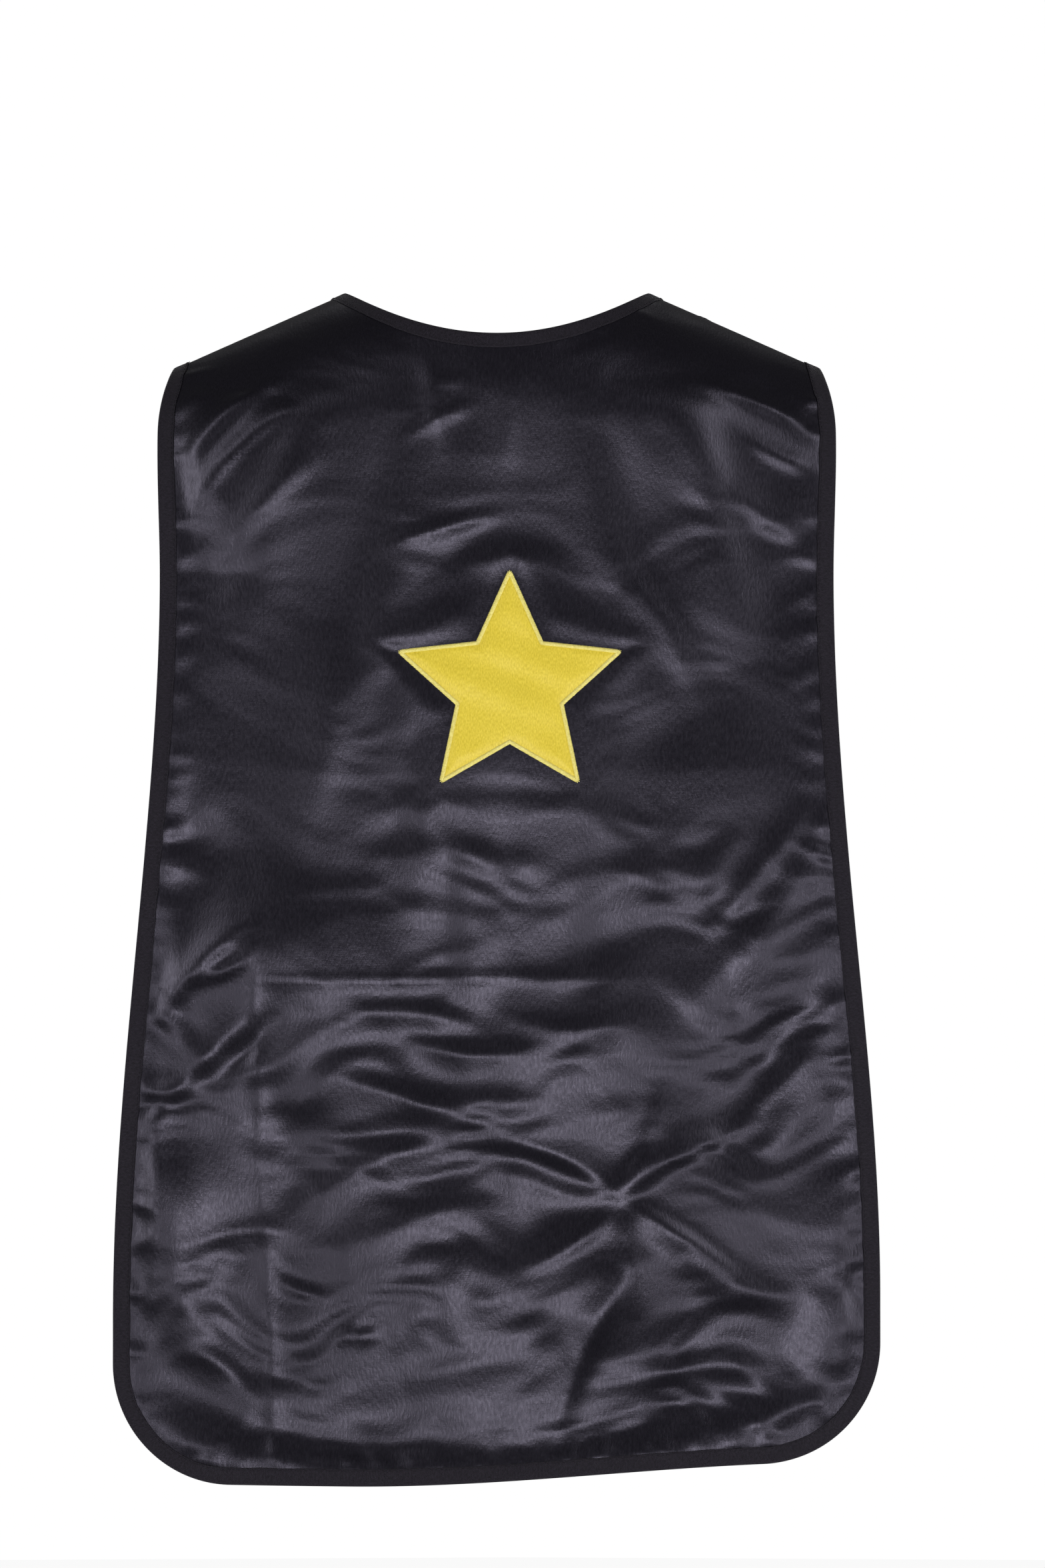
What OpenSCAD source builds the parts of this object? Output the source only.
// Child's costume cape: lined satin back panel with bound edges and an applied
// star emblem, two front flaps over the shoulders and a hook-and-loop neck tab.
// Frame: X to the wearer's right, Y forward, Z up; the origin is the middle of
// the neck opening, level with the neck edge at the centre back.

/* [Back panel] */
// Length of the back from the neck edge down to the hem
back_length = 700; // [640:5:760]
// Half of the width between the two shoulder tips
shoulder_half = 200; // [190:1:210]
// Half of the width at the hem, before the corners turn
hem_half = 234; // [225:1:245]
// Radius of the two rounded lower corners
corner_r = 72; // [50:1:90]
// How far the back stands behind the shoulder line
back_depth = 80; // [70:1:90]
// How much further out the hem hangs than the shoulders
hem_flare = 24; // [20:1:30]

/* [Neck and shoulders] */
// Half of the width of the neck opening
neck_half = 93; // [88:1:96]
// How far the neck edge rises from the centre back to the shoulder seams
neck_rise = 28; // [26:1:30]
// Height of the shoulder tips, measured from the neck edge at the centre back
tip_z = -19; // [-22:1:-16]
// How far the front neck edge stands ahead of the shoulder line
front_depth = 78; // [72:1:84]
// How far the front neck edge drops below the origin
front_drop = 35; // [30:1:40]
// Height of each front flap at the centre front
flap_height = 60; // [54:1:66]

/* [Cloth and tape] */
// Thickness of the satin and of the lining
cloth_t = 0.5; // [0.4:0.05:0.6]
// Distance from the middle surface to the near face of each cloth
cloth_off = 0.4; // [0.35:0.05:0.45]
// Thickness of the binding tape
tape_t = 0.5; // [0.4:0.05:0.6]
// Width that the edge binding covers
edge_tape_w = 11; // [9:0.5:13]
// Width that the neck binding covers
neck_tape_w = 10; // [8:0.5:12]

/* [Emblem] */
// Distance from the star's centre to its tips
star_r = 70; // [60:1:71]
// Distance from the star's centre to its inner corners
star_inner_r = 33; // [28:1:36]
// Sideways place of the star's centre
star_x = 8; // [-10:1:10]
// Height of the star's centre
star_z = -216; // [-220:1:-205]
// Width of the satin-stitched border
stitch_w = 5; // [4:0.5:7]
// Radius of the stabiliser sheet behind the star
stabiliser_r = 80; // [78:1:81]

/* [Closure tab] */
// Place of the tab's hinge line, to the side of the centre front
tab_base_x = 12.5; // [10:0.5:15]
// Length of the tab from its hinge line to its round end
tab_length = 48; // [44:1:52]
// Half of the tab's height
tab_half = 20; // [18:0.5:21]
// Width that the tab's binding covers
tab_tape_w = 6; // [5:0.5:7]
// Length of the hook tape and of the loop tape
grip_length = 26; // [22:1:28]
// Half of the height of the hook tape and of the loop tape
grip_half = 9; // [7:0.5:10]

/* [Hidden] */

satin = [0.16, 0.15, 0.18];
lining_black = [0.12, 0.12, 0.13];
tape_black = [0.1, 0.1, 0.11];
star_yellow = [0.9, 0.8, 0.3];
thread_yellow = [0.95, 0.9, 0.5];
grip_black = [0.2, 0.2, 0.2];
label_white = [0.93, 0.93, 0.93];

// Faces of the layers, measured from the middle surface
cloth_face = cloth_off + cloth_t;
tape_gap = 0.4;
leg_in = cloth_face + tape_gap;
leg_out = leg_in + tape_t;
// The cloth ends this far inside the fold of the tape
fold_gap = 0.3;
cloth_inset = tape_t + fold_gap;

// Half of the gap at each shoulder seam and at the split across the back
seam_gap = 1;
// The back bends here when it swings out
split_z = -300;
// Height over which the shoulder turns down into the back
cap_h = 100;
// The ridge of the shoulders runs from the neck's side to the tip, nearly
// straight, and is rounded over the neck by this much
ridge_round = 30;
// The side edge swells over the arm just under the tip, draws in again below it,
// and then widens to the hem: how much, from what height, and over what length
arm_swell = 8;
arm_run = 41;
draw_in = 2;
draw_in_z = -60;
draw_in_run = 90;
widen_z = -150;
widen_run = 450;
ridge_run = norm([shoulder_half, ridge_round]) - norm([neck_half, ridge_round]);
ridge_slope = (neck_rise - tip_z) / ridge_run;
ridge_top = neck_rise + ridge_slope * (norm([neck_half, ridge_round]) - ridge_round);
// The back curves round the wearer: its depth falls by this times x squared
wrap = 0.0006;
// Below this height the back hangs further out, along a curve of this power
flare_top_z = -105;
flare_power = 1.2;

// Stations of the upper back: over the shoulder, down the side, along the split
cap_steps = 8;
side_steps = 4;
split_steps = 8;
half_steps = cap_steps + side_steps + split_steps;
line_steps = 8;
corner_steps = 8;
flap_steps = 24;
left_end_x = -8;
right_end_x = tab_base_x + 0.5;
// The left flap sinks this far under the tab
left_sink = 5;
flap_bulge = 12;
// The outer edge of a flap stands this much further forward than its neck edge
chest_depth = 14;
// The radial lines of the back and the points on them crowd towards the neck
fan_power = 1.2;
line_power = 1.5;

// ---- small helpers ----
function unit(v) = v / norm(v);
function smooth(t) = let (c = min(1, max(0, t))) c * c * (3 - 2 * c);
function mix(a, b, t) = a + (b - a) * t;
function place(v) = [v[0], v[1], v[2]];
function facing(v) = [v[3], v[4], v[5]];
function lift(v, off) = place(v) + off * facing(v);
function mirror_x(p) = [-p[0], p[1], p[2]];
function reversed(rows) = [for (i = [len(rows) - 1:-1:0]) rows[i]];

// Adds the outward normal to each point of a grid whose rows and columns run
// clockwise as seen from outside
function with_normals(grid) =
    let (rows = len(grid) - 1, cols = len(grid[0]) - 1)
    [for (i = [0:rows]) [for (j = [0:cols])
        let (along = grid[min(rows, i + 1)][j] - grid[max(0, i - 1)][j],
             across = grid[i][min(cols, j + 1)] - grid[i][max(0, j - 1)])
        concat(grid[i][j], unit(cross(across, along)))]];

// Moves the first and the last point of each row inwards by a share of a cell
function trimmed(grid, first, last) =
    [for (row = grid) let (n = len(row) - 1) [for (j = [0:n])
        j == 0 ? mix(row[0], row[1], first)
        : j == n ? mix(row[n], row[n - 1], last)
        : row[j]]];

// ---- the back ----
function ridge_z(x) = ridge_top - ridge_slope * (norm([x, ridge_round]) - ridge_round);
function back_reach(x, z) = back_depth - wrap * x * x
    + hem_flare * pow(max(0, flare_top_z - z) / (back_length + flare_top_z), flare_power);
function back_point(x, z) =
    let (q = min(1, max(0, (ridge_z(x) - z) / cap_h)))
    [x, -seam_gap - back_reach(x, z) * sqrt(1 - pow(1 - q, 2)), z];
function back_at(x, z) =
    let (h = 2,
         across = back_point(x + h, z) - back_point(x - h, z),
         down = back_point(x, z - h) - back_point(x, z + h))
    concat(back_point(x, z), unit(cross(down, across)));

// Half width of the outline at a height, drawn in by an inset
function half_width(z, inset = 0) =
    let (turn_z = -(back_length - corner_r), below = max(0, turn_z - z),
         t = min(1, max(0, (tip_z - z) / arm_run)),
         side = shoulder_half + arm_swell * (1 - pow(1 - t, 2))
             - draw_in * smooth((draw_in_z - z) / draw_in_run)
             + (hem_half - shoulder_half - arm_swell + draw_in)
                 * smooth((widen_z - z) / widen_run))
    below == 0 ? side - inset
    : hem_half - corner_r + sqrt(max(0, pow(corner_r - inset, 2) - below * below));

// Neck edge and outer end of one radial line of the upper back, right half
function neck_end(k) =
    let (a = 90 * (1 - pow(k / half_steps, fan_power)))
    [neck_half * sin(a), neck_rise * pow(sin(a), 2)];
function outer_end(k) =
    k <= cap_steps
        ? let (z = tip_z - cap_h * (1 - cos(90 * k / cap_steps))) [half_width(z), z]
    : k <= cap_steps + side_steps
        ? let (cap_z = tip_z - cap_h,
               z = mix(cap_z, split_z + seam_gap, (k - cap_steps) / side_steps))
          [half_width(z), z]
    : let (z = split_z + seam_gap)
      [half_width(z) * (1 - (k - cap_steps - side_steps) / split_steps), z];
// Shares of a radial line: neck edge, neck tape, inner points, edge tape, edge
function line_shares(k) =
    let (from = neck_end(k), to = outer_end(k),
         first = neck_tape_w / norm(to - from),
         last = 1 - edge_tape_w / (k <= cap_steps + side_steps
             ? to[0] - from[0] : norm(to - from)))
    concat([0], [for (m = [0:line_steps]) mix(first, last, pow(m / line_steps, line_power))], [1]);
function fan_line(k) =
    [for (s = line_shares(k)) let (p = mix(neck_end(k), outer_end(k), s))
        back_point(p[0], p[1])];
upper_grid = with_normals(
    [for (i = [-half_steps:half_steps])
        let (line = fan_line(half_steps - abs(i)))
        i < 0 ? [for (p = line) mirror_x(p)] : line]);
upper_cloth = trimmed(upper_grid, cloth_inset / neck_tape_w, cloth_inset / edge_tape_w);

// Cloth of the lower back, in level rows down to the hem
lower_rows = concat(
    [for (m = [0:7]) mix(split_z - seam_gap, -(back_length - corner_r), m / 8)],
    [for (m = [0:corner_steps])
        -(back_length - corner_r) - (corner_r - cloth_inset) * sin(90 * m / corner_steps)]);
lower_cloth = [for (z = lower_rows) [for (m = [-10:10])
    back_at(-m / 10 * half_width(z, cloth_inset), z)]];

// One half of the lower outline, from the split round the corner to the hem
function lower_edge(inset) = concat(
    [for (m = [0:7])
        let (z = mix(split_z - seam_gap, -(back_length - corner_r), m / 8))
        [half_width(z, inset), z]],
    [for (m = [0:corner_steps])
        let (a = 90 * m / corner_steps, r = corner_r - inset)
        [hem_half - corner_r + r * cos(a), -(back_length - corner_r) - r * sin(a)]],
    [for (m = [1:5])
        [(hem_half - corner_r) * (1 - m / 5), -(back_length - inset)]]);
function lower_outline(inset) =
    let (half = lower_edge(inset), n = len(half) - 1)
    concat([for (p = half) back_at(p[0], p[1])],
        [for (m = [1:n]) back_at(-half[n - m][0], half[n - m][1])]);

// ---- the front flaps, both drawn on the right; the left one is mirrored ----
// Share b runs from the neck edge to the outer edge; a is the angle from the seam
function flap_at_angle(a, b) =
    let (c = cos(a), s = sin(a),
         neck = [neck_half * c, front_depth * s, neck_rise * c * c - front_drop * s * s],
         edge = [shoulder_half * c, (front_depth + chest_depth) * s,
             tip_z - (front_drop + flap_height + tip_z) * s * s],
         bulge = flap_bulge * pow(sin(2 * a), 2) * 4 * b * (1 - b))
    mix(neck, edge, b) + [0, seam_gap, 0] + bulge * unit([c / 2, s, 0.8]);
function flap_angle(x, b) = acos(x / mix(neck_half, shoulder_half, b));
// Shares across the flap: edges, tapes and inner points
function share_list(t) =
    let (span = mix(norm([shoulder_half - neck_half, neck_rise - tip_z]), flap_height + 2, t),
         first = neck_tape_w / span, last = 1 - edge_tape_w / span)
    concat([0], [for (m = [0:6]) mix(first, last, m / 6)], [1]);
function flap_grid(end_x) = with_normals(
    [for (i = [0:flap_steps]) [for (b = share_list(i / flap_steps))
        flap_at_angle(i / flap_steps * flap_angle(end_x, b), b)]]);
// Sinks the end of a flap inwards, under the tab
function sunk(grid, depth) = with_normals(
    [for (i = [0:flap_steps]) [for (v = grid[i])
        lift(v, -depth * smooth((i / flap_steps - 0.4) / 0.4))]]);
right_grid = flap_grid(right_end_x);
left_grid = sunk(flap_grid(left_end_x), left_sink);
function flap_cloth(grid) = let (
    first = cloth_inset / neck_tape_w, last = cloth_inset / edge_tape_w)
    trimmed(grid, first, last);

// ---- the tab, over the middle of the front ----
function tab_point(x, v) =
    let (b = 0.5 + v / flap_height) flap_at_angle(flap_angle(x, b), b);
function tab_at(x, v) =
    let (h = 1,
         across = tab_point(x + h, v) - tab_point(x - h, v),
         down = tab_point(x, v + h) - tab_point(x, v - h))
    concat(tab_point(x, v), unit(cross(across, down)));
tab_start_x = tab_base_x - 0.5;
tab_round_x = tab_base_x - tab_length + tab_half;
function tab_height(x, inset) =
    let (beyond = max(0, tab_round_x - x))
    sqrt(pow(tab_half - inset, 2) - beyond * beyond);
tab_columns = concat(
    [for (m = [0:4]) mix(tab_start_x, tab_round_x, m / 4)],
    [for (m = [1:5]) tab_round_x - (tab_half - cloth_inset) * sin(78 * m / 5)]);
tab_cloth = [for (x = tab_columns) [for (m = [-3:3])
    tab_at(x, m / 3 * tab_height(x, cloth_inset))]];
function tab_outline(inset) = concat(
    [for (m = [0:3]) tab_at(mix(tab_start_x, tab_round_x, m / 4), -(tab_half - inset))],
    [for (m = [0:12]) let (a = -90 + 15 * m, r = tab_half - inset)
        tab_at(tab_round_x - r * cos(a), r * sin(a))],
    [for (m = [1:4]) tab_at(mix(tab_round_x, tab_start_x, m / 4), tab_half - inset)]);
grip_columns = [for (m = [0:4]) tab_round_x - grip_half + grip_length * (1 - m / 4)];
hook_patch = [for (x = grip_columns) [for (m = [-2:2]) tab_at(x, grip_half * m / 2)]];
loop_patch = [for (row = hook_patch) [for (v = row)
    concat(lift(v, -left_sink), facing(v))]];

// ---- solids ----
// Solid between two offsets of a grid of points with normals
module slab(grid, low, high, closed = false) {
    rows = len(grid);
    cols = len(grid[0]);
    count = rows * cols;
    last = closed ? rows - 1 : rows - 2;
    function at(i, j) = (i % rows) * cols + j;
    upper = [for (row = grid) for (v = row) lift(v, high)];
    lower = [for (row = grid) for (v = row) lift(v, low)];
    cells = [for (i = [0:last]) for (j = [0:cols - 2])
        [at(i, j), at(i + 1, j), at(i + 1, j + 1), at(i, j + 1)]];
    rims = concat(
        [for (i = [0:last]) [at(i + 1, 0), at(i, 0)]],
        [for (i = [0:last]) [at(i, cols - 1), at(i + 1, cols - 1)]],
        closed ? [] : [for (j = [0:cols - 2]) [at(0, j), at(0, j + 1)]],
        closed ? [] : [for (j = [0:cols - 2]) [at(rows - 1, j + 1), at(rows - 1, j)]]);
    solid(upper, lower, cells, rims, count);
}

// Closes two matching faces, made of cells, with walls along the rims
module solid(upper, lower, cells, rims, count) {
    polyhedron(concat(upper, lower), concat(
        [for (c = cells) for (f = cut(c)) f],
        [for (c = cells) for (f = cut(c)) [f[2] + count, f[1] + count, f[0] + count]],
        [for (r = rims) for (f = cut([r[0], r[1], r[1] + count, r[0] + count])) f]));
}
function cut(c) = len(c) == 3 ? [c] : [[c[0], c[1], c[2]], [c[0], c[2], c[3]]];

// U-shaped tape folded over an edge; fold and end are rows of points with normals
module tape(fold, end, width) {
    n = len(fold);
    sections = [for (i = [0:n - 1])
        let (inside = mix(fold[i], end[i], tape_t / width))
        [lift(end[i], leg_out), lift(fold[i], leg_out), lift(fold[i], -leg_out),
         lift(end[i], -leg_out), lift(end[i], -leg_in), lift(inside, -leg_in),
         lift(inside, leg_in), lift(end[i], leg_in)]];
    polyhedron([for (s = sections) for (p = s) p], concat(
        [for (i = [0:n - 2]) for (j = [0:7])
            let (a = 8 * i + j, b = 8 * i + (j + 1) % 8)
            for (f = cut([a, b, b + 8, a + 8])) f],
        [for (j = [0:2]) for (f = cut([7 - j, 6 - j, j + 1, j])) f],
        [for (j = [0:2]) for (f = cut([j, j + 1, 6 - j, 7 - j])) f + [8, 8, 8] * (n - 1)]));
}

// Patch on the back inside an outline, built in rings about its centre
module patch(outline, low, high) {
    rings = 4;
    n = len(outline);
    middle = [star_x, star_z];
    points = concat([back_at(middle[0], middle[1])],
        [for (r = [1:rings]) for (p = outline)
            let (q = middle + p * r / rings) back_at(q[0], q[1])]);
    function at(r, i) = 1 + (r - 1) * n + i % n;
    cells = concat(
        [for (i = [0:n - 1]) [0, at(1, i + 1), at(1, i)]],
        [for (r = [1:rings - 1]) for (i = [0:n - 1])
            [at(r, i), at(r, i + 1), at(r + 1, i + 1), at(r + 1, i)]]);
    rims = [for (i = [0:n - 1]) [at(rings, i), at(rings, i + 1)]];
    solid([for (v = points) lift(v, high)], [for (v = points) lift(v, low)],
        cells, rims, len(points));
}

// Outline of the star, each side cut in three; all its sides lie star_side away
function star_corner(i) =
    (i % 2 == 0 ? star_r : star_inner_r) * [-sin(36 * i), cos(36 * i)];
star_outline = [for (i = [0:9]) for (s = [0:2])
    mix(star_corner(i), star_corner(i + 1), s / 3)];
star_side = star_r * star_inner_r * sin(36) / norm(star_corner(1) - star_corner(0));
function star_inset(d) = star_outline * (star_side - d) / star_side;

// ---- pieces of the upper back ----
module back_shell_upper() {
    color(satin) slab(upper_cloth, cloth_off, cloth_face);
}

module back_lining_upper() {
    color(lining_black) slab(upper_cloth, -cloth_face, -cloth_off);
}

module neck_binding_back() {
    color(tape_black) tape([for (row = upper_grid) row[0]],
        [for (row = upper_grid) row[1]], neck_tape_w);
}

// The tape runs level below the shoulder, so its end meets the split squarely
function side_end(line, k) =
    k <= cap_steps ? line[len(line) - 2]
    : let (p = line[len(line) - 1]) back_at(p[0] - sign(p[0]) * edge_tape_w, p[2]);
module edge_binding_upper(side) {
    count = cap_steps + side_steps;
    lines = [for (k = [0:count]) upper_grid[side > 0 ? 2 * half_steps - k : k]];
    color(tape_black) mirror([side > 0 ? 0 : 1, 0, 0]) tape(
        [for (line = lines) turned(line[len(line) - 1], side)],
        [for (k = [0:count]) turned(side_end(lines[k], k), side)], edge_tape_w);
}
function turned(v, side) = [side * v[0], v[1], v[2], side * v[3], v[4], v[5]];

module star_applique() {
    color(star_yellow) patch(star_inset(stitch_w / 2), leg_in, leg_out);
}

module star_satin_stitch() {
    inner = star_inset(stitch_w / 2 - 0.2);
    outer = star_inset(-stitch_w / 2);
    ring = [for (i = [0:len(inner) - 1]) [for (p = [inner[i], outer[i]])
        back_at(star_x + p[0], star_z + p[1])]];
    color(thread_yellow) slab(ring, leg_in, leg_out + 0.4, closed = true);
}

module emblem_stabiliser() {
    ring = [for (i = [0:31]) stabiliser_r * [-sin(360 * i / 32), cos(360 * i / 32)]];
    color(label_white) patch(ring, -0.1, 0.1);
}

module care_label() {
    label_w = 30;
    label_top = -11;
    label_h = 42;
    sheet = [for (m = [0:4]) [for (x = [label_w / 2, 0, -label_w / 2])
        back_at(x, label_top - label_h * m / 4)]];
    color(label_white) slab(sheet, -leg_out - 0.7, -leg_out - 0.4);
}

// ---- pieces of the lower back ----
module back_shell_lower() {
    color(satin) slab(lower_cloth, cloth_off, cloth_face);
}

module back_lining_lower() {
    color(lining_black) slab(lower_cloth, -cloth_face, -cloth_off);
}

module edge_binding_lower() {
    color(tape_black) tape(lower_outline(0), lower_outline(edge_tape_w), edge_tape_w);
}

// ---- pieces of the front flaps ----
module flap_layer(grid, low, high) {
    slab(flap_cloth(grid), low, high);
}

module flap_neck_tape(grid) {
    tape([for (row = grid) row[0]], [for (row = grid) row[1]], neck_tape_w);
}

module flap_edge_tape(grid) {
    n = len(grid[0]) - 1;
    rows = reversed(grid);
    tape([for (row = rows) row[n]], [for (row = rows) row[n - 1]], edge_tape_w);
}

module left_front_shell() {
    color(satin) mirror([1, 0, 0]) flap_layer(left_grid, cloth_off, cloth_face);
}

module left_front_lining() {
    color(lining_black) mirror([1, 0, 0]) flap_layer(left_grid, -cloth_face, -cloth_off);
}

module left_neck_binding() {
    color(tape_black) mirror([1, 0, 0]) flap_neck_tape(left_grid);
}

module left_edge_binding() {
    color(tape_black) mirror([1, 0, 0]) flap_edge_tape(left_grid);
}

module loop_tape() {
    color(grip_black) slab(loop_patch, leg_in, leg_out + 0.5);
}

module right_front_shell() {
    color(satin) flap_layer(right_grid, cloth_off, cloth_face);
}

module right_front_lining() {
    color(lining_black) flap_layer(right_grid, -cloth_face, -cloth_off);
}

module right_neck_binding() {
    color(tape_black) flap_neck_tape(right_grid);
}

module right_edge_binding() {
    color(tape_black) flap_edge_tape(right_grid);
}

// ---- pieces of the closure tab ----
module tab_shell() {
    color(satin) slab(tab_cloth, cloth_off, cloth_face);
}

module tab_lining() {
    color(lining_black) slab(tab_cloth, -cloth_face, -cloth_off);
}

module tab_binding() {
    color(tape_black) tape(tab_outline(0), tab_outline(tab_tape_w), tab_tape_w);
}

module hook_tape() {
    color(grip_black) slab(hook_patch, -leg_out - 0.5, -leg_in);
}

back_shell_upper();
back_lining_upper();
neck_binding_back();
edge_binding_upper(-1);  // edge_binding_left_upper
edge_binding_upper(1);  // edge_binding_right_upper
star_applique();
star_satin_stitch();
emblem_stabiliser();
care_label();
back_shell_lower();
back_lining_lower();
edge_binding_lower();
left_front_shell();
left_front_lining();
left_neck_binding();
left_edge_binding();
loop_tape();
right_front_shell();
right_front_lining();
right_neck_binding();
right_edge_binding();
tab_shell();
tab_lining();
tab_binding();
hook_tape();
